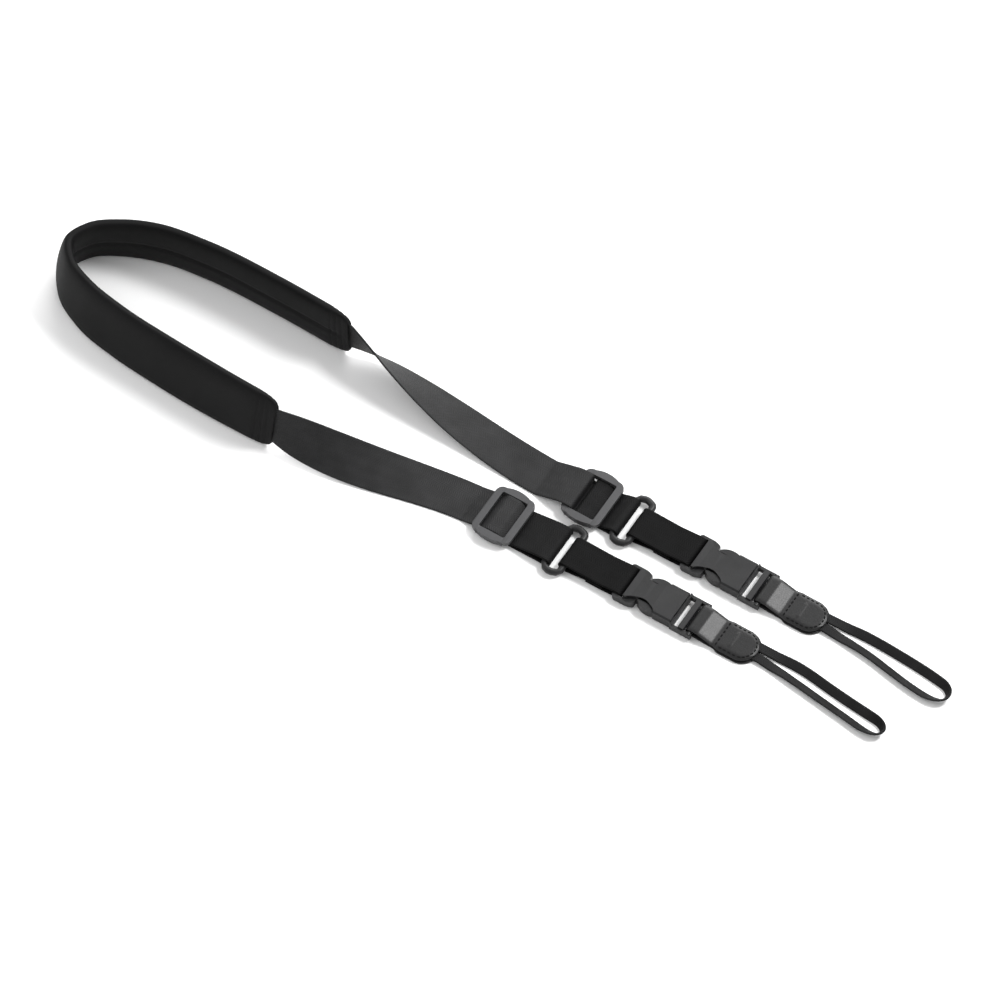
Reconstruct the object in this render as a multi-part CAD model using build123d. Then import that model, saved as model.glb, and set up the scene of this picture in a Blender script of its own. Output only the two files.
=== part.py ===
from build123d import *
import os
from math import cos, radians, sin, tan

# Padded neck strap with two quick-release arms, lying on a table.
# Millimetres. +X runs from the neck pad to the lug loops, +Y to the wearer's
# left arm of the strap, +Z up. The origin is on the table, under the middle
# of the strap without its thin lug loops.

# Stock sizes of the soft goods
WEBBING_WIDTH = 25.0
LINK_WIDTH = 20.0
WEBBING_THICK = 1.2
LEATHER_THICK = 1.2
TAPE_WIDTH = 5.8
TAPE_THICK = 1.2
PLAY = 0.1

# Overall layout
HALF_LENGTH = 239.0
RIGHT_Y = -10.5
LEFT_Y = 25.0
RIGHT_SLOT_X = 136.5
LEFT_SLOT_X = 158.0
RING_FROM_SLOT = 42.9

# Neck pad: a neoprene sleeve over foam, standing on its long edge
PAD_HEIGHT = 38.0
PAD_THICK = 8.0
PAD_WALL = 1.4
FOAM_HEIGHT = 32.0
FOAM_THICK = 1.3
FOAM_SHORT = 14.0
PAD_EDGE_RADIUS = 3.4
# centre line of the hairpin at the pad's mid height, from its right end to its left end
PAD_LINE = [
    (-78.5, -33.8), (-115.0, -33.2), (-152.0, -31.4), (-184.0, -28.4), (-209.0, -23.0),
    (-226.5, -14.0), (-235.0, -0.5), (-229.5, 13.0), (-214.0, 24.5), (-194.0, 32.6),
    (-167.0, 36.8), (-120.0, 37.8), (-74.5, 36.4),
]
# inward lean of the pad in degrees, at even steps from its right end to its left end
PAD_LEANS = [12.0, 15.0, 14.0, 7.0, 3.0, 2.0, 2.0]
PAD_STATIONS = 41

# Tri-glide slider
SLIDER_LENGTH = 24.5
SLIDER_WIDTH = 31.6
SLIDER_WINDOW = 16.1
SLIDER_INNER = 25.5
SLIDER_BULGE = 17.2
RIB_LOW_Z = 0.9
RIB_HALF_THICK = 1.1
SLIDER_THICK = 2.4
SLIDER_END_Z = 4.9
SLIDER_MID_Z = 5.7
CENTRE_BAR_Z = 3.4
CENTRE_BAR_THICK = 1.6
CENTRE_BAR_WIDTH = 5.0

# Ring between the adjuster loop and the link strap
RING_BAR = 4.0
RING_BAR_SPACING = 10.0
RING_CORNER_Y = 14.0
RING_SIDE_Y = 16.0
RING_Z = 3.4

# Side-release buckle
BUCKLE_Z = 4.2
BUCKLE_HALF_THICK = 3.9
SOCKET_MOUTH_X = 31.0
SOCKET_HALF_WIDTH = 10.8
SOCKET_CAVITY_HALF_WIDTH = 9.6
SOCKET_CAVITY_HALF_THICK = 2.9
SOCKET_WING_Y = 11.8
WING_LOW = -3.0
WING_TOP = 1.6
STRAP_BAR = 3.2
SOCKET_BAR_X = -3.6
PLUG_END_X = 45.6
PLUG_RAIL_Y = 11.7
PLUG_BAR_X = 42.8
MIDDLE_BAR = (35.8, 39.1)
PRONG_PIVOT = (29.4, 7.8)
PRONG_PIVOT_RADIUS = 0.9

# Leather tab and the tape loop sewn into it
TAB_END_X = HALF_LENGTH - LEFT_SLOT_X
TAB_STRIP_HALF = 9.3
TAB_HALF = 10.0
TAB_BEND_X = 47.4
TAB_FLAT_X = 56.0
TAB_ROUND = 9.5
TAPE_ROOT_Y = (4.1, -2.1)

# Routes of the two lug loops, from the slot line and the arm's middle
RIGHT_LOOP = [
    (81.02, 4.1), (93.0, 4.7), (108.0, 4.4), (124.0, 1.9), (140.0, -0.1), (153.0, -1.3),
    (160.0, -2.6), (164.2, -6.2), (162.2, -10.4), (155.0, -11.3), (142.0, -9.3), (126.0, -7.2),
    (109.0, -4.8), (94.0, -2.9), (81.02, -2.1),
]
LEFT_LOOP = [
    (81.02, 4.1), (93.0, 4.9), (108.0, 5.2), (124.0, 4.4), (139.0, 3.3), (151.0, 1.9),
    (157.5, 0.2), (161.2, -3.8), (159.6, -8.8), (152.0, -10.6), (139.0, -9.4), (126.0, -7.1),
    (111.0, -4.2), (95.0, -2.8), (81.02, -2.1),
]

ARMS = {
    "right": {"y": RIGHT_Y, "slot": RIGHT_SLOT_X, "slider": 39.1, "flat": 20.0, "loop": RIGHT_LOOP},
    "left": {"y": LEFT_Y, "slot": LEFT_SLOT_X, "slider": 25.6, "flat": 30.0, "loop": LEFT_LOOP},
}

os.makedirs("parts", exist_ok=True)


def save(name, shape):
    """Write one node as a STEP file named after it."""
    shape.label = name
    export_step(shape, f"parts/{name}.step")


def block(x0, x1, y0, y1, z0, z1):
    """Box between two corners."""
    size = Box(x1 - x0, y1 - y0, z1 - z0)
    return Pos((x0 + x1) / 2, (y0 + y1) / 2, (z0 + z1) / 2) * size


def ribbon(points, radii, thick, width):
    """Flat strap that follows rounded XZ points, centred on Y = 0."""
    path = FilletPolyline(*points, radius=radii)
    section = trace(path, thick)
    flat = extrude(section, width / 2, both=True)
    return Rot(90, 0, 0) * flat


# ---------------------------------------------------------------- neck pad


def pad_curve():
    """Hairpin centre line of the pad, from its right end to its left end."""
    return Spline(*PAD_LINE)


def pad_lean(share):
    """Inward lean at a share of the way from the right end to the left end."""
    place = share * (len(PAD_LEANS) - 1)
    step = min(int(place), len(PAD_LEANS) - 2)
    return PAD_LEANS[step] + (PAD_LEANS[step + 1] - PAD_LEANS[step]) * (place - step)


def pad_plane(curve, share, aside=0.0):
    """Plane across the pad, its X up the pad's height and its Y inwards."""
    lean = radians(pad_lean(share))
    distance = curve.length * share
    spot = curve.position_at(distance, PositionMode.LENGTH)
    along = curve.tangent_at(distance, PositionMode.LENGTH)
    inward = Vector(along.Y, -along.X, 0)
    up = Vector(0, 0, 1) * cos(lean) + inward * sin(lean)
    edge = PAD_EDGE_RADIUS
    middle = edge + (PAD_HEIGHT / 2 - edge) * cos(lean) + (PAD_THICK / 2 - edge) * sin(lean)
    origin = Vector(spot.X, spot.Y, middle) + along.cross(up) * aside
    return Plane(origin=origin, x_dir=up, z_dir=along)


def pad_loft(height, thick, corner=0.0, aside=0.0, short=0.0):
    """Solid of one constant section carried round the hairpin, short at both ends."""
    curve = pad_curve()
    outline = RectangleRounded(height, thick, corner) if corner else Rectangle(height, thick)
    first = short / curve.length
    shares = [first + (1 - 2 * first) * i / (PAD_STATIONS - 1) for i in range(PAD_STATIONS)]
    return loft([pad_plane(curve, share, aside) * outline for share in shares], ruled=True)


def make_pad():
    """Sleeve, two foam sheets and the webbing core between them."""
    hollow_height = PAD_HEIGHT - 2 * PAD_WALL
    hollow_thick = PAD_THICK - 2 * PAD_WALL
    outer = pad_loft(PAD_HEIGHT, PAD_THICK, PAD_EDGE_RADIUS)
    hollow = pad_loft(hollow_height, hollow_thick, PAD_EDGE_RADIUS - PAD_WALL)
    save("pad_sleeve", outer - hollow)

    foam_aside = (WEBBING_THICK + hollow_thick) / 4
    save("pad_outer_foam", pad_loft(FOAM_HEIGHT, FOAM_THICK, aside=-foam_aside, short=FOAM_SHORT))
    save("pad_inner_foam", pad_loft(FOAM_HEIGHT, FOAM_THICK, aside=foam_aside, short=FOAM_SHORT))
    save("pad_webbing_core", pad_loft(WEBBING_WIDTH, WEBBING_THICK))


# ----------------------------------------------------------- main webbing

RUN_STEPS = 9
RUN_FLOOR_Z = 0.65


def run_plane(side, share):
    """Plane across the main webbing as it turns from on edge to flat."""
    arm = ARMS[side]
    turn = -1 if side == "left" else 1
    start = pad_plane(pad_curve(), 1 if side == "left" else 0)
    out_of_pad = start.z_dir * -turn
    lean = radians(PAD_LEANS[-1] if side == "left" else PAD_LEANS[0])
    stop_x = arm["slot"] - RING_FROM_SLOT - arm["slider"] - arm["flat"]

    eased = share * share * (3 - 2 * share)
    x = start.origin.X + (stop_x - start.origin.X) * share
    y = start.origin.Y + (arm["y"] - start.origin.Y) * (0.35 * share + 0.65 * eased)
    slant = 0.35 + 0.65 * 6 * share * (1 - share)
    slope = (arm["y"] - start.origin.Y) / (stop_x - start.origin.X) * slant

    left_to_turn = (1 - share) ** 2.2
    angle = (radians(90) - lean) * left_to_turn
    resting = WEBBING_WIDTH / 2 * sin(angle) + RUN_FLOOR_Z
    lift = start.origin.Z - WEBBING_WIDTH / 2 * sin(radians(90) - lean) - RUN_FLOOR_Z
    z = resting + lift * (1 - share) ** 3

    along = Vector(1, slope, 0).normalized() * (1 - left_to_turn) + out_of_pad * left_to_turn
    flat_way = Vector(0, turn, 0)
    width_way = flat_way * cos(angle) + Vector(0, 0, sin(angle))
    along = along.normalized()
    width_way = (width_way - along * along.dot(width_way)).normalized()
    return Plane(origin=Vector(x, y, z), x_dir=width_way, z_dir=along)


def run_points(side):
    """Path of the webbing through the slider, from the flat stretch on."""
    bar = SLIDER_LENGTH / 2 - 2.1
    flat_start = (-ARMS[side]["flat"], RUN_FLOOR_Z)
    if side == "right":
        points = [
            flat_start, (-bar - 3.0, 2.6), (-bar + 2.0, 3.2),
            (-3.4, 6.3), (3.4, 6.3), (bar - 2.0, 3.2), (bar - 0.2, 3.05),
        ]
        return points, [12, 2.5, 2.2, 2.2, 1.5]
    points = [
        flat_start, (-bar - 3.0, 7.35), (-6.5, 7.3), (-6.5, RUN_FLOOR_Z), (-0.5, RUN_FLOOR_Z),
    ]
    return points, [20, 1.4, 1.4]


def make_main_webbing(side):
    """Webbing from the pad's end to its place in the slider."""
    arm = ARMS[side]
    flat = Rectangle(WEBBING_WIDTH, WEBBING_THICK)
    shares = [i / (RUN_STEPS - 1) for i in range(RUN_STEPS)]
    twist = loft([run_plane(side, share) * flat for share in shares])
    points, radii = run_points(side)
    threaded = ribbon(points, radii, WEBBING_THICK, WEBBING_WIDTH)
    slider_x = arm["slot"] - RING_FROM_SLOT - arm["slider"]
    save(f"{side}_webbing", twist + Pos(slider_x, arm["y"], 0) * threaded)


# ------------------------------------------------- slider and adjuster loop


def make_slider(side):
    """Bowed tri-glide: barrel-shaped sides, a rib under each and a low centre bar."""
    half = SLIDER_LENGTH / 2
    half_width = SLIDER_WIDTH / 2
    bow = ThreePointArc((-half, SLIDER_END_Z), (0, SLIDER_MID_Z), (half, SLIDER_END_Z))
    slab = Rot(90, 0, 0) * extrude(trace(bow, SLIDER_THICK), SLIDER_BULGE + 1, both=True)
    plan = RectangleRounded(SLIDER_LENGTH - 0.2, SLIDER_WIDTH, 4)
    for way in (-1, 1):
        side_y = way * (half_width - 0.3)
        plan += make_face([
            ThreePointArc((-8, side_y), (0, way * SLIDER_BULGE), (8, side_y)),
            Line((8, side_y), (-8, side_y)),
        ])
    window = extrude(RectangleRounded(SLIDER_WINDOW, SLIDER_INNER, 1), 20)
    frame = (slab & extrude(plan, 20)) - window

    low = CENTRE_BAR_Z - CENTRE_BAR_THICK / 2
    rib_face = make_face([
        ThreePointArc((-9.0, 4.6), (0, RIB_LOW_Z), (9.0, 4.6)),
        Line((9.0, 4.6), (-9.0, 4.6)),
    ])
    rib = Rot(90, 0, 0) * extrude(rib_face, RIB_HALF_THICK, both=True)
    for way in (-1, 1):
        inner, outer = sorted((way * SLIDER_INNER / 2, way * half_width))
        frame += block(-8.5, 8.5, inner, outer, low, SLIDER_END_Z)
        frame += Pos(0, way * (half_width - 0.9), 0) * rib
    bar_half = CENTRE_BAR_WIDTH / 2
    reach = SLIDER_INNER / 2 + 0.5
    frame += block(-bar_half, bar_half, -reach, reach, low, low + CENTRE_BAR_THICK)
    place(side, "slider", frame, from_slider=True)


def ring_turn(bar_x, half, way):
    """Corners of a half turn round a ring bar, from the bottom ply to the top ply."""
    return [(bar_x + way * half, RING_Z - half), (bar_x + way * half, RING_Z + half)]


def make_adjuster_loop(side):
    """Doubled webbing between the slider's centre bar and the ring."""
    half = RING_BAR / 2 + PLAY + WEBBING_THICK / 2
    ring_bar = ARMS[side]["slider"] - RING_BAR_SPACING / 2
    eye_x = CENTRE_BAR_WIDTH / 2 + WEBBING_THICK
    eye_half = CENTRE_BAR_THICK / 2 + PLAY + WEBBING_THICK / 2
    eye_top = CENTRE_BAR_Z + eye_half
    eye_low = CENTRE_BAR_Z - eye_half
    turn = ring_turn(ring_bar, half, 1)
    if side == "right":
        eye = [(eye_x, eye_low + WEBBING_THICK / 2 + PLAY), (eye_x, eye_top)]
        eye += [(-eye_x, eye_top), (-eye_x, eye_low), (eye_x - 0.5, eye_low)]
        low_ply = [(eye_x + 4.5, RING_Z - half)]
        top_ply = [(ring_bar - 5, RING_Z + half), (SLIDER_LENGTH / 2, 3.0)]
        path = eye + low_ply + turn + top_ply + [(SLIDER_LENGTH / 2 - 2.2, 3.0)]
        radii = [1.4, 1.4, 1.4, 3, 3, half, half, 6, 3]
    else:
        eye = [(eye_x, CENTRE_BAR_Z - 0.2), (eye_x, eye_low)]
        eye += [(-eye_x, eye_low), (-eye_x, eye_top), (2.6, eye_top)]
        top_ply = [(SLIDER_WINDOW / 2 + 0.4, 2.9), (SLIDER_LENGTH / 2 + 0.3, 2.9)]
        low_end = [(0.0, RUN_FLOOR_Z)]
        path = eye + top_ply + [(ring_bar - 1, RING_Z + half)] + turn[::-1] + low_end
        radii = [1.0, 1.4, 1.4, 2.5, 2, 2, 2, half, half]
    place(side, "adjuster_loop", ribbon(path, radii, WEBBING_THICK, WEBBING_WIDTH), True)


# ------------------------------------------------------- ring and link strap


def round_bar(x, z, half_length, diameter):
    """Cylinder along Y at one X and Z."""
    return Pos(x, 0, z) * Rot(90, 0, 0) * Cylinder(diameter / 2, 2 * half_length)


def make_ring(side):
    """Closed ring: two straight bars and two bowed ends."""
    half = RING_BAR_SPACING / 2
    corners = [
        (-half, 0), (-half, RING_CORNER_Y), (0, RING_SIDE_Y), (half, RING_CORNER_Y),
        (half, -RING_CORNER_Y), (0, -RING_SIDE_Y), (-half, -RING_CORNER_Y), (-half, -1),
    ]
    bend, bow = 2.0, 5.0
    path = FilletPolyline(*corners, radius=[bend, bow, bend, bend, bow, bend])
    path += Line((-half, -1), (-half, 0))
    wire = path.wire()
    start = Plane(origin=wire @ 0, z_dir=wire % 0)
    ring = sweep(start * Circle(RING_BAR / 2), path=wire)
    place(side, "ring", Pos(-RING_FROM_SLOT, 0, RING_Z) * ring)


def make_link_strap(side):
    """Short strap sewn into a closed loop between the ring and the buckle."""
    ring_bar = -RING_FROM_SLOT + RING_BAR_SPACING / 2
    ring_half = RING_BAR / 2 + PLAY + WEBBING_THICK / 2
    bar_half = STRAP_BAR / 2 + PLAY + WEBBING_THICK / 2
    path = [
        (-13.0, 2.75), (-25.0, 2.75), (ring_bar + 2.4, RING_Z - ring_half),
        (ring_bar - ring_half, RING_Z - ring_half), (ring_bar - ring_half, RING_Z + ring_half),
        (ring_bar + 1, RING_Z + ring_half), (-17.0, 5.3), (SOCKET_BAR_X - 1, BUCKLE_Z + bar_half),
        (SOCKET_BAR_X + bar_half, BUCKLE_Z + bar_half),
        (SOCKET_BAR_X + bar_half, BUCKLE_Z - bar_half),
        (SOCKET_BAR_X - 2, BUCKLE_Z - bar_half), (-13.0, 1.25), (-23.5, 1.25),
    ]
    radii = [8, 2, ring_half, ring_half, 2, 30, 2, bar_half, bar_half, 2, 8]
    place(side, "link_strap", ribbon(path, radii, WEBBING_THICK, LINK_WIDTH))


# ------------------------------------------------------ side-release buckle


def socket_plate_outline():
    """Waisted outline of the socket's two plates, half of it, Y positive."""
    curve = Spline(
        (2.2, 10.0), (5.6, 7.6), (9.4, 6.2), (13.4, 6.1), (17.0, 7.6), (19.8, 10.0),
        tangents=[(0.6, -1), (0.5, 1)],
    )
    edges = [
        Line((0.5, 0), (0.5, 10.0)), Line((0.5, 10.0), (2.2, 10.0)), curve,
        Line((19.8, 10.0), (19.8, SOCKET_HALF_WIDTH)),
        Line((19.8, SOCKET_HALF_WIDTH), (SOCKET_MOUTH_X, SOCKET_HALF_WIDTH)),
        Line((SOCKET_MOUTH_X, SOCKET_HALF_WIDTH), (SOCKET_MOUTH_X, 0)),
        Line((SOCKET_MOUTH_X, 0), (0.5, 0)),
    ]
    return make_face(edges)


def make_socket(side):
    """Female half: bar, shoulders, waisted plates and a closed mouth."""
    half_face = socket_plate_outline()
    face = half_face + mirror(half_face, Plane.XZ)
    body = extrude(face, BUCKLE_HALF_THICK, both=True)
    mouth_edges = body.edges().filter_by(Axis.X).group_by(SortBy.LENGTH)[-1]
    long_edges = [e for e in mouth_edges if abs(e.center().Y) > SOCKET_HALF_WIDTH - 0.1]
    body = chamfer(long_edges, 0.9)
    for way in (-1, 1):
        wing_face = make_face([
            Line((-5.6, way * 10.2), (-5.6, way * 11.0)),
            Line((-5.6, way * 11.0), (-4.4, way * SOCKET_WING_Y)),
            Line((-4.4, way * SOCKET_WING_Y), (2.0, way * SOCKET_WING_Y)),
            ThreePointArc((2.0, way * SOCKET_WING_Y), (5.4, way * 11.2), (7.4, way * 10.2)),
            Line((7.4, way * 10.2), (-5.6, way * 10.2)),
        ])
        wing = extrude(wing_face, WING_TOP - WING_LOW)
        body += Pos(0, 0, WING_LOW) * wing
        inner, outer = sorted((way * 6, way * 10.2))
        body += block(0.5, 7.4, inner, outer, WING_LOW, WING_TOP)
    cavity = block(8.2, SOCKET_MOUTH_X + 1, -SOCKET_CAVITY_HALF_WIDTH, SOCKET_CAVITY_HALF_WIDTH,
                   -SOCKET_CAVITY_HALF_THICK, SOCKET_CAVITY_HALF_THICK)
    body -= cavity
    body += round_bar(SOCKET_BAR_X, 0, 11.0, STRAP_BAR)
    place(side, "buckle_socket", Pos(0, 0, BUCKLE_Z) * body)


def make_plug(side):
    """Male half: ladder frame with a middle bar, an end bar and a guide tongue."""
    base_x = SOCKET_MOUTH_X + 0.15
    plug = block(base_x, base_x + 1.0, -PLUG_RAIL_Y, PLUG_RAIL_Y, -2.7, 2.2)
    for way in (-1, 1):
        low, high = sorted((way * 10.0, way * PLUG_RAIL_Y))
        plug += block(base_x, PLUG_END_X - 1.2, low, high, -2.7, 1.0)
    plug += block(MIDDLE_BAR[0], MIDDLE_BAR[1], -10.4, 10.4, -2.0, 2.1)
    plug += round_bar(PLUG_BAR_X, 0, 11.4, STRAP_BAR)
    plug += block(14.0, base_x + 0.2, -2.2, 2.2, -1.7, 1.7)
    for way in (-1, 1):
        low, high = sorted((way * (PRONG_PIVOT[1] - 1.5), way * (PRONG_PIVOT[1] + 1.4)))
        root = block(PRONG_PIVOT[0] - 1.2, base_x + 0.2, low, high, -2.4, -1.4)
        root += block(PRONG_PIVOT[0] - 1.2, base_x + 0.2, low, high, 1.4, 2.4)
        pin = Pos(PRONG_PIVOT[0], way * PRONG_PIVOT[1], 0) * Cylinder(PRONG_PIVOT_RADIUS, 3.2)
        plug += root + pin
    place(side, "buckle_plug", Pos(0, 0, BUCKLE_Z) * plug)


def make_prong(side, name, way):
    """Spring prong: an eye on the plug, a thin arm and a lens-shaped press pad."""
    x, y = PRONG_PIVOT
    arm = block(18.5, x, way * y - 1.0, way * y + 1.0, -1.3, 1.3)
    eye = Pos(x, way * y, 0) * Cylinder(1.6, 2.6)
    pad_face = make_face([
        Line((8.7, way * 6.9), (19.5, way * 6.9)),
        Line((19.5, way * 6.9), (19.5, way * 10.3)),
        ThreePointArc((19.5, way * 10.3), (14.6, way * 10.9), (8.7, way * 8.2)),
        Line((8.7, way * 8.2), (8.7, way * 6.9)),
    ])
    pad = extrude(pad_face, 2.7, both=True)
    hole = Pos(x, way * y, 0) * Cylinder(PRONG_PIVOT_RADIUS + 0.05, 4)
    place(side, name, Pos(0, 0, BUCKLE_Z) * (arm + eye + pad - hole))


# -------------------------------------------------- leather tab and lug loop


def tab_outline(strip_half, tab_half, end_x):
    """Plan of one leather ply: a strip that widens to a round-ended tab."""
    shoulder = end_x - TAB_ROUND
    return make_face([
        Line((40, -strip_half), (TAB_FLAT_X + 1, -strip_half)),
        Line((TAB_FLAT_X + 1, -strip_half), (TAB_FLAT_X + 5, -tab_half)),
        Line((TAB_FLAT_X + 5, -tab_half), (shoulder, -tab_half)),
        EllipticalCenterArc((shoulder, 0), TAB_ROUND, tab_half, start_angle=-90, arc_size=180),
        Line((shoulder, tab_half), (TAB_FLAT_X + 5, tab_half)),
        Line((TAB_FLAT_X + 5, tab_half), (TAB_FLAT_X + 1, strip_half)),
        Line((TAB_FLAT_X + 1, strip_half), (40, strip_half)),
        Line((40, strip_half), (40, -strip_half)),
    ])


def make_tab(side):
    """Leather strip folded round the plug's end bar, sewn into a tab."""
    half = STRAP_BAR / 2 + PLAY + LEATHER_THICK / 2
    lower_z = 0.8
    upper_z = lower_z + LEATHER_THICK + TAPE_THICK + PLAY
    turn = PLUG_BAR_X - half
    path = [
        (TAB_END_X + 2, upper_z), (TAB_FLAT_X, upper_z), (TAB_BEND_X, BUCKLE_Z + half),
        (turn, BUCKLE_Z + half), (turn, BUCKLE_Z - half), (PLUG_BAR_X + 2, BUCKLE_Z - half),
        (TAB_FLAT_X - 2, lower_z), (TAB_END_X + 2, lower_z),
    ]
    radii = [5, 1.8, half, half, 1.8, 5]
    strip = ribbon(path, radii, LEATHER_THICK, 2 * TAB_HALF + 4)
    split_z = (lower_z + upper_z) / 2
    upper = extrude(tab_outline(TAB_STRIP_HALF, TAB_HALF, TAB_END_X - 0.7), 12)
    lower = extrude(tab_outline(TAB_STRIP_HALF, TAB_HALF + 0.6, TAB_END_X), split_z)
    place(side, "leather_tab", strip & (Pos(0, 0, split_z) * upper + lower))

    tape_low = lower_z + LEATHER_THICK / 2 + PLAY / 2
    reach = TAPE_WIDTH / 2
    ends = [
        block(TAB_FLAT_X + 6, TAB_END_X, y - reach, y + reach, tape_low, tape_low + TAPE_THICK)
        for y in TAPE_ROOT_Y
    ]
    place(side, "loop_sewn_ends", Compound(children=ends))


def corner_radii(points):
    """Largest arc at each corner of a route that its two runs have room for."""
    radii = []
    for before, corner, after in zip(points, points[1:], points[2:]):
        come = Vector(corner) - Vector(before)
        leave = Vector(after) - Vector(corner)
        half_turn = radians(come.get_angle(leave) / 2)
        radii.append(0.45 * min(come.length, leave.length) / tan(half_turn))
    return radii


def make_lug_loop(side):
    """Narrow tape loop beyond the tab, modelled on edge all the way round."""
    points = ARMS[side]["loop"]
    radii = corner_radii(points)
    path = FilletPolyline(*points, radius=radii)
    band = extrude(trace(path, TAPE_THICK), TAPE_WIDTH)
    place(side, "lug_loop", Pos(0, 0, 0.2) * band)
    print(f"{side}_lug_loop centre line {path.length:.1f} mm, volume {band.volume:.0f} mm3,"
          f" section times length {path.length * TAPE_THICK * TAPE_WIDTH:.0f} mm3,"
          f" bend radii {[round(radius) for radius in radii]}")


def place(side, name, shape, from_slider=False):
    """Move an arm's piece to its arm and save it."""
    arm = ARMS[side]
    x = arm["slot"]
    if from_slider:
        x -= RING_FROM_SLOT + arm["slider"]
    save(f"{side}_{name}", Pos(x, arm["y"], 0) * shape)


make_pad()
for arm_side in ARMS:
    make_main_webbing(arm_side)
    make_slider(arm_side)
    make_adjuster_loop(arm_side)
    make_ring(arm_side)
    make_link_strap(arm_side)
    make_socket(arm_side)
    make_plug(arm_side)
    make_prong(arm_side, "inner_prong", 1)
    make_prong(arm_side, "outer_prong", -1)
    make_tab(arm_side)
    make_lug_loop(arm_side)
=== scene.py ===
from math import asin, copysign, cos, exp, pi, radians, sin, sqrt, tan

import bmesh
import bpy
from mathutils import Matrix, Vector


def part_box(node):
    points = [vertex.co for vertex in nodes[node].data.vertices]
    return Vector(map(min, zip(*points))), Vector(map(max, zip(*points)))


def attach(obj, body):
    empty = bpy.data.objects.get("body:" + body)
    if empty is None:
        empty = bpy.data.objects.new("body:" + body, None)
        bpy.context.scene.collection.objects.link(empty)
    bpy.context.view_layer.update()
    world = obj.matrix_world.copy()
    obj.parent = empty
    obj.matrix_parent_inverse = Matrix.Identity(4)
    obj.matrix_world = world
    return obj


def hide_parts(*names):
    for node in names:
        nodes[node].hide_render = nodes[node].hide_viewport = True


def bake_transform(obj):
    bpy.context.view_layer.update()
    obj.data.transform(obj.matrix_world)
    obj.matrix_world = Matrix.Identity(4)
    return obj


# A padded neck strap for binoculars or a camera, lying on a pale table.
# Metres, in the frame of the CAD model: +X from the neck pad to the lug loops,
# +Y to the left arm, +Z up from the table.

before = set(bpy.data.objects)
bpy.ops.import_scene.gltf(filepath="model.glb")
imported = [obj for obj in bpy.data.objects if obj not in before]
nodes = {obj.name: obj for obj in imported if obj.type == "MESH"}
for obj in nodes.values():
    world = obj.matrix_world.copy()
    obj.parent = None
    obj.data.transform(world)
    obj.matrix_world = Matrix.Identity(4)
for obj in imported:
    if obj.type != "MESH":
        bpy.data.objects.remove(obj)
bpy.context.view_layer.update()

MM = 0.001
SIDES = ("right", "left")
UP = Vector((0, 0, 1))

# ------------------------------------------------------------------ camera

VIEW_AZIMUTH = radians(32)
VIEW_ELEVATION = radians(58)
VIEW_TARGET = Vector((0.0457, 0.0, 0.0))
VIEW_WIDTH = 0.546
LENS = 500.0
SENSOR = 36.0


def add_camera():
    """Camera that looks down along the strap from the right."""
    data = bpy.data.cameras.new("camera")
    data.lens = LENS
    data.sensor_width = SENSOR
    data.clip_end = 100.0
    distance = VIEW_WIDTH * LENS / SENSOR
    back = Vector((
        sin(VIEW_AZIMUTH) * cos(VIEW_ELEVATION),
        -cos(VIEW_AZIMUTH) * cos(VIEW_ELEVATION),
        sin(VIEW_ELEVATION),
    ))
    camera = bpy.data.objects.new("camera", data)
    camera.location = VIEW_TARGET + back * distance
    camera.rotation_euler = (-back).to_track_quat("-Z", "Y").to_euler()
    bpy.context.scene.collection.objects.link(camera)
    bpy.context.scene.camera = camera


def add_area_light(name, place, target, size, power):
    """Soft square light that faces a target."""
    data = bpy.data.lights.new(name, "AREA")
    data.size = size
    data.energy = power
    light = bpy.data.objects.new(name, data)
    light.location = place
    light.rotation_euler = (Vector(target) - Vector(place)).to_track_quat("-Z", "Y").to_euler()
    bpy.context.scene.collection.objects.link(light)


def add_studio():
    """Pale floor, bright even surroundings and three soft lights."""
    mesh = bpy.data.meshes.new("floor")
    half = 3.0
    corners = [(-half, -half, 0), (half, -half, 0), (half, half, 0), (-half, half, 0)]
    mesh.from_pydata(corners, [], [(0, 1, 2, 3)])
    floor = bpy.data.objects.new("floor", mesh)
    bpy.context.scene.collection.objects.link(floor)
    floor.data.materials.append(plain_material("floor_paper", (0.93, 0.93, 0.93), 0.9))

    world = bpy.data.worlds.new("studio")
    world.use_nodes = True
    background = world.node_tree.nodes["Background"]
    background.inputs["Color"].default_value = (1, 1, 1, 1)
    background.inputs["Strength"].default_value = 0.75
    bpy.context.scene.world = world
    bpy.context.scene.view_settings.view_transform = "Standard"
    add_area_light("key", (0.79, 0.80, 1.45), (0.1, 0, 0), 0.5, 30)
    add_area_light("back", (-0.5, 1.6, 0.95), (0, 0, 0), 1.4, 32)
    add_area_light("fill", (-0.9, -0.5, 1.3), (0, 0, 0), 1.0, 5)


# --------------------------------------------------------------- materials


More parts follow.
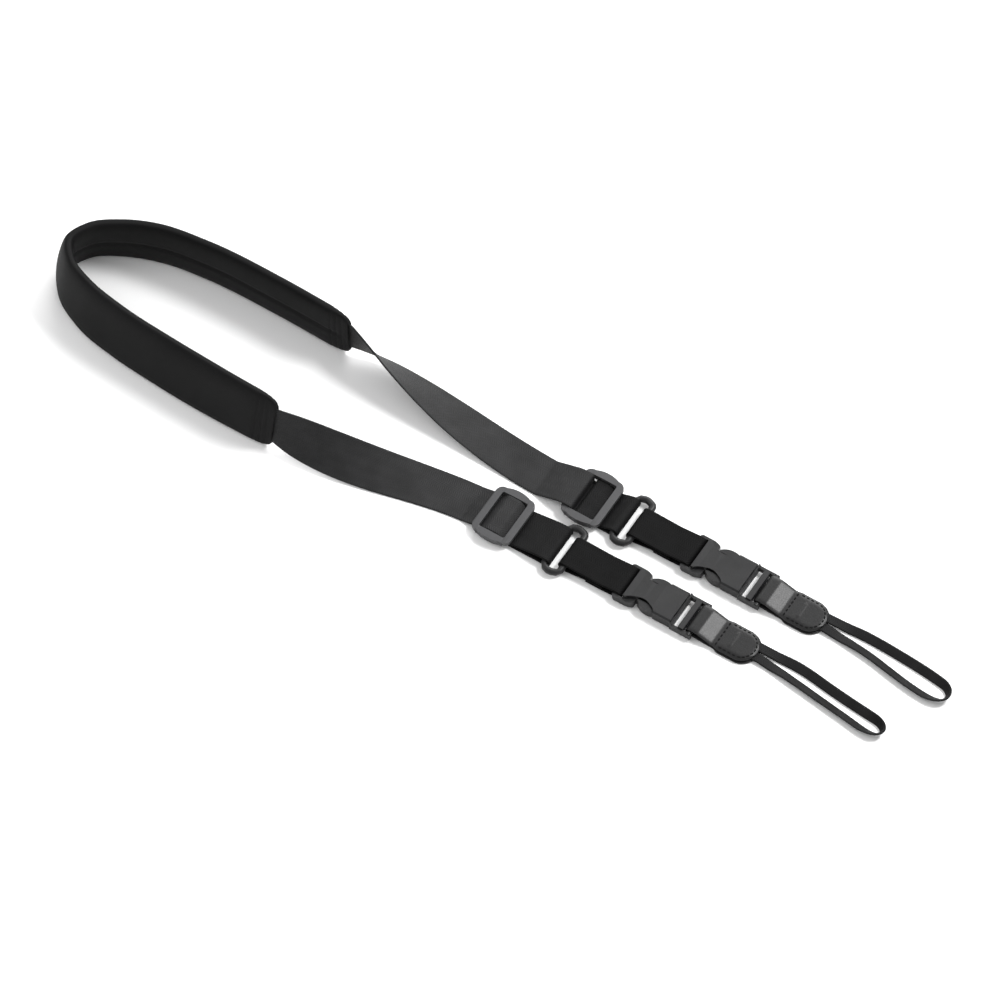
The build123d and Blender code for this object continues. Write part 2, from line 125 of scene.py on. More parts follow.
class Nodes:
    """Short way to add and join shader nodes."""

    def __init__(self, name):
        self.material = bpy.data.materials.new(name)
        self.material.use_nodes = True
        self.tree = self.material.node_tree
        self.shader = self.tree.nodes["Principled BSDF"]

    def add(self, kind, settings=None, **inputs):
        node = self.tree.nodes.new("ShaderNode" + kind)
        for key, value in (settings or {}).items():
            setattr(node, key, value)
        for key, value in inputs.items():
            self.put(node, key.replace("_", " "), value)
        return node

    def put(self, node, key, value):
        slot = node.inputs[int(key)] if key.isdigit() else node.inputs[key]
        if isinstance(value, bpy.types.NodeSocket):
            self.tree.links.new(value, slot)
        else:
            slot.default_value = value

    def maths(self, operation, one, two=0.0, three=0.0):
        node = self.add("Math", {"operation": operation})
        for i, value in enumerate((one, two, three)):
            if i < len(node.inputs):
                self.put(node, str(i), value)
        return node.outputs[0]

    def ramp(self, value, stops):
        node = self.add("ValToRGB", Fac=value)
        elements = node.color_ramp.elements
        while len(elements) < len(stops):
            elements.new(0.5)
        for element, (place, shade) in zip(elements, stops):
            element.position = place
            element.color = (*shade, 1)
        return node.outputs["Color"]

    def bump(self, height, distance, strength=1.0):
        node = self.add("Bump", Height=height, Distance=distance, Strength=strength)
        self.put(self.shader, "Normal", node.outputs["Normal"])

    def surface(self, **values):
        for key, value in values.items():
            self.put(self.shader, key.replace("_", " "), value)
        return self.material


def plain_material(name, colour, roughness):
    """Plain surface of one colour."""
    n = Nodes(name)
    return n.surface(Base_Color=(*colour, 1), Roughness=roughness)


def grey(value, tint=1.04):
    """Neutral grey with a slightly cool tint."""
    return (value, value, value * tint)


def woven(name, dark, light, across, along, gloss, depth):
    """Twill webbing. The strap's own UV is in metres, across and along it."""
    n = Nodes(name)
    uv = n.add("UVMap", {"uv_map": "strap"}).outputs["UV"]
    parts = n.add("SeparateXYZ", Vector=uv)
    u, v = parts.outputs["X"], parts.outputs["Y"]
    column = n.maths("MULTIPLY", u, 1 / across)
    row = n.maths("MULTIPLY", v, 1 / along)
    zigzag = n.maths("PINGPONG", column, 4.0)
    rise = n.maths("ADD", n.maths("MULTIPLY", zigzag, 0.5), row)
    threads = n.maths("SINE", n.maths("MULTIPLY", rise, 2 * pi))
    cords = n.maths("SINE", n.maths("MULTIPLY", column, 2 * pi))
    weave = n.maths("ADD", n.maths("MULTIPLY", threads, 0.3), n.maths("MULTIPLY", cords, 0.2))
    fuzz = n.add("TexNoise", Vector=uv, Scale=2600.0, Detail=3.0).outputs["Fac"]
    patches = n.add("TexNoise", Vector=uv, Scale=70.0, Detail=4.0).outputs["Fac"]
    height = n.maths("ADD", weave, n.maths("MULTIPLY", fuzz, 0.5))
    shade = n.maths("ADD", n.maths("MULTIPLY", height, 0.5), n.maths("MULTIPLY", patches, 0.9))
    colour = n.ramp(n.maths("SUBTRACT", shade, 0.15), [(0.1, dark), (0.85, light)])
    n.bump(height, depth)
    return n.surface(Base_Color=colour, Roughness=0.62, Specular_IOR_Level=gloss)


def object_noise(n, scale, detail=3.0):
    """Noise fixed to the object, so that it moves with its piece."""
    place = n.add("TexCoord").outputs["Object"]
    return n.add("TexNoise", Vector=place, Scale=scale, Detail=detail).outputs["Fac"]


def neoprene():
    """Smooth-faced neoprene: fine knit grain, faint patches, soft sheen."""
    n = Nodes("neoprene_skin")
    fine = object_noise(n, 3200.0)
    broad = object_noise(n, 38.0)
    shade = n.maths("ADD", n.maths("MULTIPLY", fine, 0.35), n.maths("MULTIPLY", broad, 0.65))
    colour = n.ramp(shade, [(0.3, grey(0.0018)), (0.7, grey(0.0048))])
    n.bump(fine, 0.00012)
    return n.surface(Base_Color=colour, Roughness=0.62, Specular_IOR_Level=0.12)


def foam():
    """Open grey foam with small cells."""
    n = Nodes("foam_cells")
    place = n.add("TexCoord").outputs["Object"]
    cells = n.add("TexVoronoi", Vector=place, Scale=1400.0).outputs["Distance"]
    colour = n.ramp(cells, [(0.1, grey(0.02)), (0.7, grey(0.06))])
    n.bump(cells, 0.0002)
    return n.surface(Base_Color=colour, Roughness=0.95)


def moulded_plastic(name, low, high, roughness):
    """Moulded plastic with a fine spark texture and a painted highlight along its convex edges."""
    n = Nodes(name)
    grain = object_noise(n, 5200.0, 2.0)
    broad = object_noise(n, 90.0)
    # Painted highlight: sharp convex edges are mixed towards a lighter grey, standing in for the
    # light their bevels catch.
    edge = n.add("NewGeometry").outputs["Pointiness"]
    edge_highlight_mask = n.ramp(edge, [(0.5, (0, 0, 0)), (0.56, (1, 1, 1))])
    base = n.ramp(broad, [(0.3, low), (0.7, high)])
    highlit_colour = n.add("Mix", {"data_type": "RGBA"})
    n.tree.links.new(n.maths("MULTIPLY", edge_highlight_mask, 0.45), highlit_colour.inputs[0])
    n.tree.links.new(base, highlit_colour.inputs[6])
    highlit_colour.inputs[7].default_value = (*(v * 1.8 for v in high), 1)
    n.bump(grain, 0.00005, 0.7)
    rough = n.maths("ADD", n.maths("MULTIPLY", grain, 0.12), roughness - 0.06)
    return n.surface(Base_Color=highlit_colour.outputs[2], Roughness=rough, Specular_IOR_Level=0.25)


def leather():
    """Black grained leather with a low gloss."""
    n = Nodes("leather_grain")
    place = n.add("TexCoord").outputs["Object"]
    cells = n.add("TexVoronoi", {"feature": "DISTANCE_TO_EDGE"}, Vector=place, Scale=900.0)
    pores = n.add("TexNoise", Vector=place, Scale=1500.0, Detail=2.0).outputs["Fac"]
    creases = n.maths("MINIMUM", cells.outputs["Distance"], 0.25)
    height = n.maths("ADD", n.maths("MULTIPLY", creases, 2.2), n.maths("MULTIPLY", pores, 0.4))
    colour = n.ramp(height, [(0.15, grey(0.003)), (0.8, grey(0.008))])
    n.bump(height, 0.00003)
    rough = n.maths("ADD", n.maths("MULTIPLY", pores, 0.12), 0.32)
    return n.surface(Base_Color=colour, Roughness=rough, Specular_IOR_Level=0.3)


def thread():
    """Twisted black sewing thread."""
    n = Nodes("sewing_thread")
    place = n.add("TexCoord").outputs["Object"]
    parts = n.add("SeparateXYZ", Vector=place)
    lay = n.maths("ADD", parts.outputs["X"], parts.outputs["Y"])
    strands = n.maths("SINE", n.maths("MULTIPLY", lay, 2 * pi / 0.0004))
    colour = n.ramp(strands, [(0.0, grey(0.001)), (1.0, grey(0.005))])
    n.bump(strands, 0.00006)
    return n.surface(Base_Color=colour, Roughness=0.7, Specular_IOR_Level=0.15)


# ------------------------------------------------------------ mesh building


def smooth(value):
    """Eased step from 0 to 1."""
    value = max(0.0, min(1.0, value))
    return value * value * (3 - 2 * value)


def lerp(one, two, share):
    """Value at a share of the way from one to two."""
    return one + (two - one) * share


def loft_mesh(name, rings, material, uvs=None):
    """Closed mesh through rings of equal length, with capped ends."""
    count = len(rings[0])
    points = [point for ring in rings for point in ring]
    faces = []
    for i in range(len(rings) - 1):
        for j in range(count):
            k = (j + 1) % count
            faces.append((i * count + j, i * count + k, (i + 1) * count + k, (i + 1) * count + j))
    last = (len(rings) - 1) * count
    faces.append(tuple(range(count))[::-1])
    faces.append(tuple(range(last, last + count)))
    mesh = bpy.data.meshes.new(name)
    mesh.from_pydata(points, [], faces)
    if uvs:
        flat_uvs = [uv for ring in uvs for uv in ring]
        layer = mesh.uv_layers.new(name="strap")
        for loop in mesh.loops:
            layer.data[loop.index].uv = flat_uvs[loop.vertex_index]
    return finish_mesh(name, mesh, material)


def finish_mesh(name, mesh, material, sharp=radians(50)):
    """Object from a mesh with outward faces and smooth shading."""
    work = bmesh.new()
    work.from_mesh(mesh)
    bmesh.ops.recalc_face_normals(work, faces=work.faces)
    work.to_mesh(mesh)
    work.free()
    mesh.shade_smooth()
    mesh.set_sharp_from_angle(angle=sharp)
    mesh.materials.append(material)
    piece = bpy.data.objects.new(name, mesh)
    bpy.context.scene.collection.objects.link(piece)
    return piece


def rounded_path(points, radii, step=0.3):
    """Points along straight runs that are joined by tangent arcs."""
    points = [Vector(p) for p in points]
    path = [points[0]]
    for before, corner, after, radius in zip(points, points[1:], points[2:], radii):
        come = (corner - before).normalized()
        leave = (after - corner).normalized()
        turn = come.angle(leave)
        inward = (leave - come).normalized()
        centre = corner + inward * (radius / cos(turn / 2))
        first = corner - come * radius * tan(turn / 2) - centre
        way = 1 if come.x * leave.y - come.y * leave.x > 0 else -1
        steps = max(2, round(radius * turn / step))
        for i in range(steps + 1):
            spin = Matrix.Rotation(way * turn * i / steps, 2)
            path.append(centre + spin @ first)
    path.append(points[-1])
    return path


def spaced(path, step):
    """The path again, with points evenly spaced about a step apart."""
    lengths = [0.0]
    for one, two in zip(path, path[1:]):
        lengths.append(lengths[-1] + (two - one).length)
    count = max(2, round(lengths[-1] / step))
    out = []
    k = 0
    for i in range(count + 1):
        want = lengths[-1] * i / count
        while k < len(path) - 2 and lengths[k + 1] < want:
            k += 1
        span = max(lengths[k + 1] - lengths[k], 1e-9)
        out.append(path[k].lerp(path[k + 1], min(1.0, (want - lengths[k]) / span)))
    return out


SELVEDGE = 1.9 * MM


def strap_section(width, thick, columns=9):
    """Half outline across a strap: round edges, raised selvedges, flat middle."""
    half = width / 2
    edge = min(SELVEDGE, half * 0.4)
    across = [(-half, 0.0), (-half + 0.12 * thick, 0.3), (-half + 0.4 * thick, 0.46)]
    across += [(-half + 0.5 * edge, 0.5), (-half + edge, 0.44)]
    inner = half - edge
    middle = [(lerp(-inner, inner, i / (columns - 1)), 0.44) for i in range(1, columns - 1)]
    mirrored = [(-u, w) for u, w in reversed(across)]
    return [(u, w * thick) for u, w in across + middle + mirrored]


def strap(name, spots, widths, width, thick, material, ripple=0.0):
    """Closed strap through spots, with its width along the given directions."""
    half = strap_section(width, thick)
    section = half + [(u, -w) for u, w in reversed(half[1:-1])]
    rings, uvs = [], []
    length = 0.0
    for i, (spot, across) in enumerate(zip(spots, widths)):
        ahead = spots[min(i + 1, len(spots) - 1)] - spots[max(i - 1, 0)]
        across = (across - ahead * (across.dot(ahead) / ahead.length_squared)).normalized()
        normal = ahead.cross(across).normalized()
        if i:
            length += (spot - spots[i - 1]).length
        ring = []
        for u, w in section:
            wave = ripple * sin(length / (5.1 * MM) + u / (7.0 * MM)) * sin(length / (17 * MM))
            ring.append(spot + across * u + normal * (w + wave))
        rings.append(ring)
        uvs.append([(u, length) for u, w in section])
    return loft_mesh(name, rings, material, uvs)


def profile_strap(name, points, radii, start_x, y, width, thick, material):
    """Strap along a rounded XZ path given in millimetres from start_x."""
    path = spaced(rounded_path(points, radii), 0.6)
    spots = [Vector((start_x + p.x * MM, y, p.y * MM)) for p in path]
    sides = [Vector((0, 1, 0))] * len(spots)
    return strap(name, spots, sides, width, thick, material)


# ----------------------------------------------------------------- neck pad

PAD_HALF_HEIGHT = 19.0 * MM
PAD_HALF_THICK = 4.0 * MM
PAD_EDGE = 3.4 * MM
PAD_HEM = 14.0 * MM
PAD_CORNER = 9.0 * MM
CORNER_DROP = 4.2 * MM
HEM_HALF_THICK = 2.5 * MM
HEM_RIDGES = (3.6 * MM, 6.9 * MM, 10.2 * MM)
SEAM_DEPTH = 0.9 * MM
SEAM_WIDTH = 1.7 * MM
PAD_STEP = 0.55 * MM
PAD_COLUMNS = 60
# centre line of the hairpin in millimetres at mid height, and its inward lean in
# degrees at even steps, both from the right end to the left end as the CAD pad has them
PAD_LINE = [
    (-78.5, -33.8), (-115.0, -33.2), (-152.0, -31.4), (-184.0, -28.4), (-209.0, -23.0),
    (-226.5, -14.0), (-235.0, -0.5), (-229.5, 13.0), (-214.0, 24.5), (-194.0, 32.6),
    (-167.0, 36.8), (-120.0, 37.8), (-74.5, 36.4),
]
PAD_LEANS = (12.0, 15.0, 14.0, 7.0, 3.0, 2.0, 2.0)


def pad_lean(share):
    """Inward lean, in radians, at a share of the way from the right end to the left end."""
    place = share * (len(PAD_LEANS) - 1)
    step = min(int(place), len(PAD_LEANS) - 2)
    return radians(lerp(PAD_LEANS[step], PAD_LEANS[step + 1], smooth(place - step)))


def pad_curve():
    """Smooth curve through the hairpin's points, right end first."""
    points = [Vector((x * MM, y * MM, 0)) for x, y in PAD_LINE]
    last = len(points) - 1
    chords = [(two - one).length for one, two in zip(points, points[1:])]
    slopes = []
    for i in range(len(points)):
        if i in (0, last):
            ends = points[:2] if i == 0 else points[-2:]
            slopes.append((ends[1] - ends[0]) / chords[min(i, last - 1)])
            continue
        before = (points[i] - points[i - 1]) / chords[i - 1]
        after = (points[i + 1] - points[i]) / chords[i]
        weight = chords[i - 1] / (chords[i - 1] + chords[i])
        slopes.append(before.lerp(after, weight))
    path = []
    for i, chord in enumerate(chords):
        for part in range(24):
            t = part / 24
            spot = points[i] * (2 * t ** 3 - 3 * t ** 2 + 1)
            spot += slopes[i] * chord * (t ** 3 - 2 * t ** 2 + t)
            spot += points[i + 1] * (3 * t ** 2 - 2 * t ** 3)
            spot += slopes[i + 1] * chord * (t ** 3 - t ** 2)
            path.append(spot)
    return path + [points[-1]]


def pad_stations():
    """Evenly spaced (middle, up, inward, along) down the pad, right end first."""
    path = spaced(pad_curve(), PAD_STEP)
    stations = []
    for i, spot in enumerate(path):
        lean = pad_lean(i / (len(path) - 1))
        along = (path[min(i + 1, len(path) - 1)] - path[max(i - 1, 0)]).normalized()
        inward = Vector((along.y, -along.x, 0))
        up = UP * cos(lean) + inward * sin(lean)
        middle = PAD_EDGE + (PAD_HALF_HEIGHT - PAD_EDGE) * cos(lean)
        middle += (PAD_HALF_THICK - PAD_EDGE) * sin(lean)
        spot = Vector((spot.x, spot.y, middle))
        stations.append((spot, up, (inward * cos(lean) - UP * sin(lean)).normalized(), along))
    return stations


def oval(station, half_height, half_thick, shift=0.0):
    """Angles and points of a pillow-shaped ring across the pad at one station."""
    spot, up, inward, along = station
    ring = []
    for i in range(2 * PAD_COLUMNS):
        angle = pi * i / PAD_COLUMNS
        height = copysign(half_height * abs(cos(angle)) ** 0.86, cos(angle))
        depth = copysign(half_thick * abs(sin(angle)) ** 0.62, sin(angle))
        ring.append((angle, height, spot + up * height + inward * depth + along * shift))
    return ring


def pad_ring(station, from_start, from_end):
    """One padded cross-section: crowned outside, seam groove inside, hemmed ends."""
    inward = station[2]
    to_end = min(from_start, from_end)
    hem = smooth(to_end / PAD_HEM)
    round_off = max(0.0, 1 - to_end / PAD_CORNER)
    half_height = PAD_HALF_HEIGHT - CORNER_DROP * (1 - sqrt(1 - round_off ** 2))
    half_thick = lerp(HEM_HALF_THICK, PAD_HALF_THICK, hem)
    for ridge in HEM_RIDGES:
        half_thick -= 0.4 * MM * exp(-(((to_end - ridge) / (0.6 * MM)) ** 2))
    ring = []
    for angle, height, spot in oval(station, half_height, half_thick):
        wave = sin(height / (6 * MM) + from_start / (31 * MM))
        push = 0.16 * MM * sin(from_start / (23 * MM)) * wave * abs(sin(angle)) * hem
        if sin(angle) > 0:
            push -= SEAM_DEPTH * hem * exp(-((height / SEAM_WIDTH) ** 2))
        ring.append(spot + inward * push)
    return ring


def mouth_rings(station, out):
    """Rounded lip and dark slit at one end of the pad, from the rim inwards."""
    rim = PAD_HALF_HEIGHT - CORNER_DROP
    steps = [
        (rim - 0.3 * MM, HEM_HALF_THICK - 0.3 * MM, 0.45), (rim - 0.9 * MM, 1.8 * MM, 0.55),
        (rim - 1.1 * MM, 1.5 * MM, 0.2), (13.4 * MM, 1.35 * MM, -0.6), (13.2 * MM, 1.2 * MM, -2.4),
    ]
    return [[spot for _, _, spot in oval(station, tall, deep, out * shift * MM)]
            for tall, deep, shift in steps]


def make_pad(stations, material):
    """Padded sleeve of the neck pad with its seam, hems and mouths."""
    lengths = [0.0]
    for one, two in zip(stations, stations[1:]):
        lengths.append(lengths[-1] + (two[0] - one[0]).length)
    rings = mouth_rings(stations[0], -1)[::-1]
    for station, length in zip(stations, lengths):
        rings.append(pad_ring(station, length, lengths[-1] - length))
    rings += mouth_rings(stations[-1], 1)
    pad = loft_mesh("neck_pad", rings, material)
    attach(pad, "strap")
    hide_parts("pad_sleeve")
    return pad


# ------------------------------------------------------------------ webbing

WEBBING_WIDTH = 25 * MM
LINK_WIDTH = 20 * MM
STRAP_THICK = 1.2 * MM
FLOOR_Z = 0.65 * MM
SLOT_FROM_RING = 42.9
RING_BAR_SPACING = 10.0
RING_Z = 3.4
RING_EYE = 2.7

# rounded XZ paths in millimetres from the slider's middle
THREADING = {
    "right": {
        "flat": 20.0,
        "run": [(-20, 0.65), (-13.15, 2.6), (-8.15, 3.2), (-3.4, 6.3), (3.4, 6.3), (8.15, 3.2),
                (9.95, 3.05)],
        "run_radii": [12, 2.5, 2.2, 2.2, 1.5],
        "eye": [(3.7, 2.6), (3.7, 4.9), (-3.7, 4.9), (-3.7, 1.9), (3.2, 1.9), (8.2, 0.7)],
        "eye_radii": [1.4, 1.4, 1.4, 3, 3],
    },
    "left": {
        "flat": 30.0,
        "run": [(-30, 0.65), (-13.15, 7.35), (-6.5, 7.3), (-6.5, 0.65), (-0.5, 0.65)],
        "run_radii": [20, 1.4, 1.4],
        "eye": [(3.7, 3.2), (3.7, 1.9), (-3.7, 1.9), (-3.7, 4.9), (2.6, 4.9), (8.45, 2.9),
                (12.55, 2.9)],
        "eye_radii": [1.0, 1.4, 1.4, 2.5, 2, 2],
    },
}


def middle_of(node):
    """Middle of a CAD node's box."""
    low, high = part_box(node)
    return (low + high) / 2


def slot_line(side):
    """Point on the arm's middle where its strap enters the buckle socket."""
    ring = middle_of(f"{side}_ring")
    return Vector((ring.x + SLOT_FROM_RING * MM, ring.y, 0))


def run_frames(side, station, out, lean):
    """Middle and width direction of the webbing as it turns from on edge to flat."""
    turn = 1 if side == "right" else -1
    slider = middle_of(f"{side}_slider")
    stop_x = slider.x - THREADING[side]["flat"] * MM
    start = station[0]
    spots = [start - out * 2.0 * MM]
    widths = [station[1]]
    steps = 96
    for i in range(steps + 1):
        share = i / steps
        x = lerp(start.x, stop_x, share)
        y = start.y + (slider.y - start.y) * (0.35 * share + 0.65 * smooth(share))
        left_to_turn = (1 - share) ** 2.2
        angle = (radians(90) - lean) * left_to_turn
        lift = start.z - WEBBING_WIDTH / 2 * cos(lean) - FLOOR_Z
        z = WEBBING_WIDTH / 2 * sin(angle) + FLOOR_Z + lift * (1 - share) ** 3
        spots.append(Vector((x, y, z)))
        widths.append(Vector((0, turn * cos(angle), sin(angle))))
    return spots, widths


def make_main_webbing(side, stations, material):
    """Webbing from inside the pad, turning flat, then threaded in its slider."""
    at_start = side == "right"
    station = stations[0] if at_start else stations[-1]
    out = -station[3] if at_start else station[3]
    lean = asin(abs(station[1].y))
    spots, widths = run_frames(side, station, out, lean)
    slider = middle_of(f"{side}_slider")
    threading = THREADING[side]
    path = spaced(rounded_path(threading["run"], threading["run_radii"]), 0.6)
    turn = 1 if at_start else -1
    for point in path[1:]:
        spots.append(Vector((slider.x + point.x * MM, slider.y, point.y * MM)))
        widths.append(Vector((0, turn, 0)))
    piece = strap(f"{side}_main_webbing", spots, widths, WEBBING_WIDTH, STRAP_THICK, material,
                  ripple=0.05 * MM)
    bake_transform(piece)
    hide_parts(f"{side}_webbing")


def make_adjuster_loop(side, material):
    """Webbing from the slider's centre bar round the ring and back."""
    slider = middle_of(f"{side}_slider")
    ring = middle_of(f"{side}_ring")
    bar = (ring.x - slider.x) / MM - RING_BAR_SPACING / 2
    eye = bar + RING_EYE
    low, high = RING_Z - RING_EYE, RING_Z + RING_EYE
    threading = THREADING[side]
    if side == "right":
        points = threading["eye"] + [(eye, low), (eye, high), (bar - 5, high)]
        points += [(12.25, 3.0), (10.05, 3.0)]
        radii = threading["eye_radii"] + [RING_EYE, RING_EYE, 6, 3]
    else:
        points = threading["eye"] + [(bar - 1, high), (eye, high), (eye, low), (0.0, 0.65)]
        radii = threading["eye_radii"] + [2, RING_EYE, RING_EYE]
    piece = profile_strap(f"{side}_adjuster_webbing", points, radii, slider.x, slider.y,
                          WEBBING_WIDTH, STRAP_THICK, material)
    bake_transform(piece)
    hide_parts(f"{side}_adjuster_loop")


def make_link(side, material):
    """Short strap sewn round the ring and the buckle's bar."""
    slot = slot_line(side)
    bar = -SLOT_FROM_RING + RING_BAR_SPACING / 2
    low, high = RING_Z - RING_EYE, RING_Z + RING_EYE
    points = [
        (-13.0, 2.75), (-25.0, 2.75), (bar + 2.4, low), (bar - RING_EYE, low),
        (bar - RING_EYE, high), (bar + 1, high), (-17.0, 5.3), (-4.6, 6.5), (-1.3, 6.5),
        (-1.3, 1.9), (-5.6, 1.9), (-13.0, 1.25), (-23.5, 1.25),
    ]
    radii = [8, 2, RING_EYE, RING_EYE, 2, 30, 2, 2.3, 2.3, 2, 8]
    piece = profile_strap(f"{side}_link_webbing", points, radii, slot.x, slot.y, LINK_WIDTH,
                          STRAP_THICK, material)
    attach(piece, f"{side}_link")
    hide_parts(f"{side}_link_strap")


# ------------------------------------------------ leather tab and lug loop

# millimetres from the slot line, where the strap enters the buckle socket
TAB_END = 81.0
UPPER_END = 80.3
UPPER_Z = 3.3
LEATHER_THICK = 1.2
TAB_ROUND = 9.5
FLARE_START = 57
UPPER_HALF = 10.0
LOWER_HALF = 10.6
STRIP_HALF = 9.3
STITCH_BORDER = 8.3
STITCH_ROW_X = 58.4
STITCH_SINK = 0.05
STITCH_HALF_SIZE = (1.1 * MM, 0.5 * MM, 0.32 * MM)


def tab_half_width(x, strip, wide, end_x):
    """Half width of a leather ply at a distance from the slot line, in millimetres."""
    shoulder = end_x - TAB_ROUND
    if x > shoulder:
        return wide * sqrt(max(0.0, 1 - ((x - shoulder) / TAB_ROUND) ** 2))
    return lerp(strip, wide, smooth((x - FLARE_START) / 4))


def tab_path():
    """XZ path of the leather strip, from the upper ply's tip to the lower ply's."""
    points = [
        (UPPER_END, UPPER_Z), (56, UPPER_Z), (47.4, 6.5), (40.5, 6.5), (40.5, 1.9), (44.8, 1.9),
        (54, 0.8), (TAB_END, 0.8),
    ]
    path = spaced(rounded_path(points, [5, 1.8, 2.3, 2.3, 1.8, 5]), 0.5)
    tip = [0.02, 0.06, 0.13, 0.22, 0.33]
    first = [path[0].lerp(path[1], share) for share in tip]
    last = [path[-1].lerp(path[-2], share) for share in reversed(tip)]
    return [path[0]] + first + path[1:-1] + last + [path[-1]]


def tab_lift(x, y, half):
    """How far the upper ply rises over the tape and sinks along its stitched border."""
    if x < FLARE_START:
        return 0.0
    inset = min(half - abs(y), UPPER_END - x + 0.3)
    sunk = -0.55 * (1 - smooth(inset / 3.2)) * smooth((x - 58) / 5)
    ridge = 0.2 * exp(-(((x - 65.5) / 0.9) ** 2)) * (1 - smooth((abs(y) - 4.6) / 1.0))
    return sunk + ridge


def make_tab(side, leather_look, thread_look):
    """Leather strip folded round the buckle's end bar, with its stitches."""
    slot = slot_line(side)
    columns = 23
    rings = []
    path = tab_path()
    count = len(path)
    for i, point in enumerate(path):
        ahead = path[min(i + 1, count - 1)] - path[max(i - 1, 0)]
        normal = Vector((-ahead.y, ahead.x)).normalized()
        upper = point.y > 2.6 and i < count / 2
        end_x = UPPER_END if upper else TAB_END
        half = tab_half_width(point.x, STRIP_HALF, UPPER_HALF if upper else LOWER_HALF, end_x)
        half = max(half, 0.15)
        ring = []
        for face in (1, -1):
            for j in range(columns):
                share = lerp(-1, 1, j / (columns - 1)) * face
                rounding = 1 - 0.6 * abs(share) ** 14
                y = half * share
                lift = tab_lift(point.x, y, half) if upper else 0.0
                offset = normal * (LEATHER_THICK / 2 * face * rounding)
                spot = (slot.x + (point.x + offset.x) * MM, slot.y + y * MM,
                        (point.y + offset.y + lift) * MM)
                ring.append(Vector(spot))
        rings.append(ring)
    tab = loft_mesh(f"{side}_tab_leather", rings, leather_look)
    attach(tab, f"{side}_tab")
    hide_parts(f"{side}_leather_tab")
    stitches = make_stitches(side, slot, thread_look)
    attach(stitches, f"{side}_tab")


def stitch_places():
    """(x, y, heading) of each stitch on the upper ply, in millimetres."""
    places = [(STITCH_ROW_X, lerp(-7.2, 7.2, i / 5), radians(90)) for i in range(6)]
    for way in (-1, 1):
        places += [(61.4 + 2.9 * i, way * STITCH_BORDER, 0.0) for i in range(4)]
    shoulder = UPPER_END - TAB_ROUND
    for i in range(-4, 5):
        angle = radians(18) * i
        across = STITCH_BORDER * sin(angle)
        places.append((shoulder + 7.8 * cos(angle), across, angle + radians(90)))
    return places


def make_stitches(side, slot, material):
    """All the stitches of one tab, each a short sunken thread."""
    work = bmesh.new()
    for x, across, heading in stitch_places():
        half = tab_half_width(x, STRIP_HALF, UPPER_HALF, UPPER_END)
        z = UPPER_Z + LEATHER_THICK / 2 + tab_lift(x, across, half) - STITCH_SINK
        place = Matrix.Translation((slot.x + x * MM, slot.y + across * MM, z * MM))
        place = place @ Matrix.Rotation(heading, 4, "Z")
        place = place @ Matrix.Diagonal((*STITCH_HALF_SIZE, 1))
        bmesh.ops.create_uvsphere(work, u_segments=10, v_segments=8, radius=1.0, matrix=place)
    mesh = bpy.data.meshes.new(f"{side}_tab_stitches")
    work.to_mesh(mesh)
    work.free()
    return finish_mesh(f"{side}_tab_stitches", mesh, material)


TAPE_WIDTH = 5.8 * MM
TAPE_ROOTS = (4.1, -2.1)
ROOT_Z = 2.05
# routes of the lug loops in metres, from the slot line and the arm's middle
LOOP_ROUTES = {
    "right": [
        (0.08102, 0.0041), (0.0930, 0.0047), (0.1080, 0.0044), (0.1240, 0.0019), (0.1400, -0.0001),
        (0.1530, -0.0013), (0.1600, -0.0026), (0.1642, -0.0062), (0.1622, -0.0104),
        (0.1550, -0.0113), (0.1420, -0.0093), (0.1260, -0.0072), (0.1090, -0.0048),
        (0.0940, -0.0029), (0.08102, -0.0021),
    ],
    "left": [
        (0.08102, 0.0041), (0.0930, 0.0049), (0.1080, 0.0052), (0.1240, 0.0044), (0.1390, 0.0033),
        (0.1510, 0.0019), (0.1575, 0.0002), (0.1612, -0.0038), (0.1596, -0.0088),
        (0.1520, -0.0106), (0.1390, -0.0094), (0.1260, -0.0071), (0.1110, -0.0042),
        (0.0950, -0.0028), (0.08102, -0.0021),
    ],
}
# how far the tape has turned up on edge, in degrees, at shares of its way to the hairpin
TAPE_TURN = [(0.0, 0.0), (0.3, 24.0), (0.8, 30.0), (1.0, 60.0)]


def loop_points(side):
    """Evenly spaced points of the loop's smooth line, read from its NURBS route."""
    slot = slot_line(side)
    data = bpy.data.curves.new(f"{side}_loop_route", "CURVE")
    data.dimensions = "3D"
    data.resolution_u = 16
    spline = data.splines.new("NURBS")
    spline.points.add(len(LOOP_ROUTES[side]) - 1)
    for point, (x, y) in zip(spline.points, LOOP_ROUTES[side]):
        point.co = (slot.x + x, slot.y + y, ROOT_Z * MM, 1)
    spline.order_u = 3
    spline.use_endpoint_u = True
    route = bpy.data.objects.new(f"{side}_loop_route", data)
    line = bpy.data.meshes.new_from_object(route)
    path = spaced([v.co.copy() for v in line.vertices], 0.7 * MM)
    bpy.data.objects.remove(route)
    bpy.data.meshes.remove(line)
    return path


def tape_turn(share):
    """Angle of the tape at a share of its way from the tab to the hairpin."""
    for (one, low), (two, high) in zip(TAPE_TURN, TAPE_TURN[1:]):
        if share <= two:
            return radians(lerp(low, high, smooth((share - one) / (two - one))))
    return radians(TAPE_TURN[-1][1])


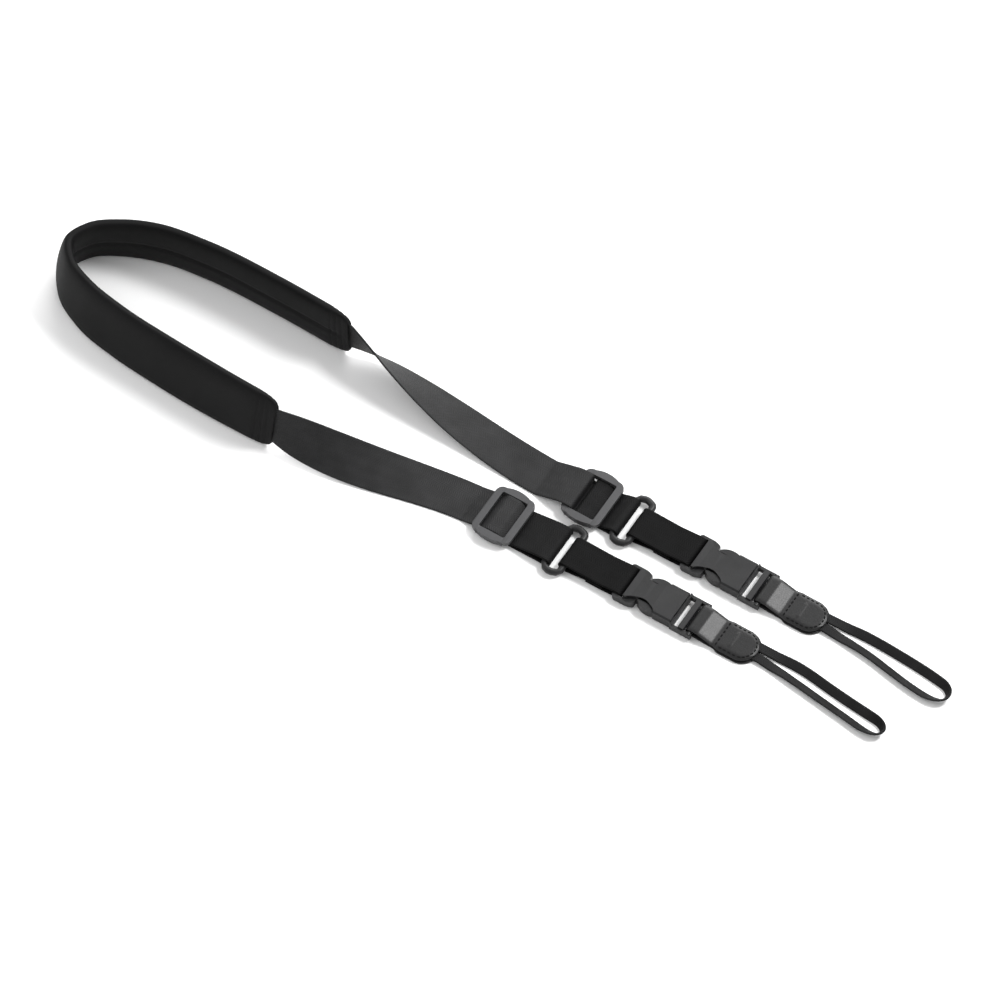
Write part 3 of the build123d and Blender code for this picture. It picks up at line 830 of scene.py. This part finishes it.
def make_lug_loop(side, material):
    """Thin tape loop that leaves the tab flat and turns on edge round its far end."""
    path = loop_points(side)
    length = sum((two - one).length for one, two in zip(path, path[1:]))
    widths = []
    gone = 0.0
    for i, spot in enumerate(path):
        ahead = (path[min(i + 1, len(path) - 1)] - path[max(i - 1, 0)]).normalized()
        if i:
            gone += (spot - path[i - 1]).length
        angle = tape_turn(2 * min(gone, length - gone) / length)
        widths.append(UP.cross(ahead) * cos(angle) + UP * sin(angle))
    for spot, across in zip(path, widths):
        rest = TAPE_WIDTH / 2 * across.z + STRAP_THICK * 0.6
        spot.z = max(rest, lerp(ROOT_Z * MM, rest, smooth((spot.x - path[0].x) / (14 * MM))))
    loop = strap(f"{side}_lug_tape", path, widths, TAPE_WIDTH, STRAP_THICK, material)
    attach(loop, f"{side}_tab")
    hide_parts(f"{side}_lug_loop")
    make_tape_ends(side, material)


def make_tape_ends(side, material):
    """The loop's two flat ends, sewn in between the plies of the tab."""
    slot = slot_line(side)
    for name, y in zip(("inner", "outer"), TAPE_ROOTS):
        spots = [Vector((slot.x + x * MM, slot.y + y * MM, ROOT_Z * MM)) for x in range(62, 82)]
        sides = [Vector((0, 1, 0))] * len(spots)
        end = strap(f"{side}_{name}_tape_end", spots, sides, TAPE_WIDTH, STRAP_THICK, material)
        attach(end, f"{side}_tab")
        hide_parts(f"{side}_loop_sewn_ends")


# ------------------------------------------------------- moulded CAD pieces


def dress_node(name, material, edge):
    """Give a CAD piece its material and softened moulded edges."""
    piece = nodes[name]
    piece.data.materials.clear()
    piece.data.materials.append(material)
    weld = piece.modifiers.new("weld", "WELD")
    weld.merge_threshold = 0.002 * MM
    if edge:
        bevel = piece.modifiers.new("bevel", "BEVEL")
        bevel.width = edge
        bevel.segments = 3
        bevel.limit_method = "ANGLE"
        bevel.angle_limit = radians(40)
        bevel.harden_normals = False
        piece.modifiers.new("normals", "WEIGHTED_NORMAL")


add_camera()
tape_look = woven("narrow_tape", grey(0.003), grey(0.013), 0.9 * MM, 1.1 * MM, 0.13, 0.00012)
for side_name in SIDES:
    make_lug_loop(side_name, tape_look)
add_studio()

run_look = woven("main_webbing", grey(0.004), grey(0.019), 0.8 * MM, 1.25 * MM, 0.22, 0.00016)
link_look = woven("link_webbing", grey(0.0007), grey(0.0038), 0.8 * MM, 1.25 * MM, 0.08, 0.00016)
loop_look = woven("sewn_webbing", grey(0.0012), grey(0.0065), 0.8 * MM, 1.25 * MM, 0.11, 0.00016)
slider_look = moulded_plastic("slider_plastic", grey(0.026), grey(0.037), 0.42)
buckle_look = moulded_plastic("buckle_plastic", grey(0.0075), grey(0.012), 0.4)
foam_look = foam()
leather_look = leather()
thread_look = thread()

pad_line = pad_stations()
make_pad(pad_line, neoprene())
for side_name in SIDES:
    make_main_webbing(side_name, pad_line, run_look)
    make_adjuster_loop(side_name, loop_look)
    make_link(side_name, link_look)
    make_tab(side_name, leather_look, thread_look)
    dress_node(f"{side_name}_slider", slider_look, 0.35 * MM)
    dress_node(f"{side_name}_ring", buckle_look, 0)
    for part in ("buckle_socket", "buckle_plug", "inner_prong", "outer_prong"):
        dress_node(f"{side_name}_{part}", buckle_look, 0.3 * MM)
dress_node("pad_webbing_core", thread_look, 0)
for part in ("pad_inner_foam", "pad_outer_foam"):
    dress_node(part, foam_look, 0)
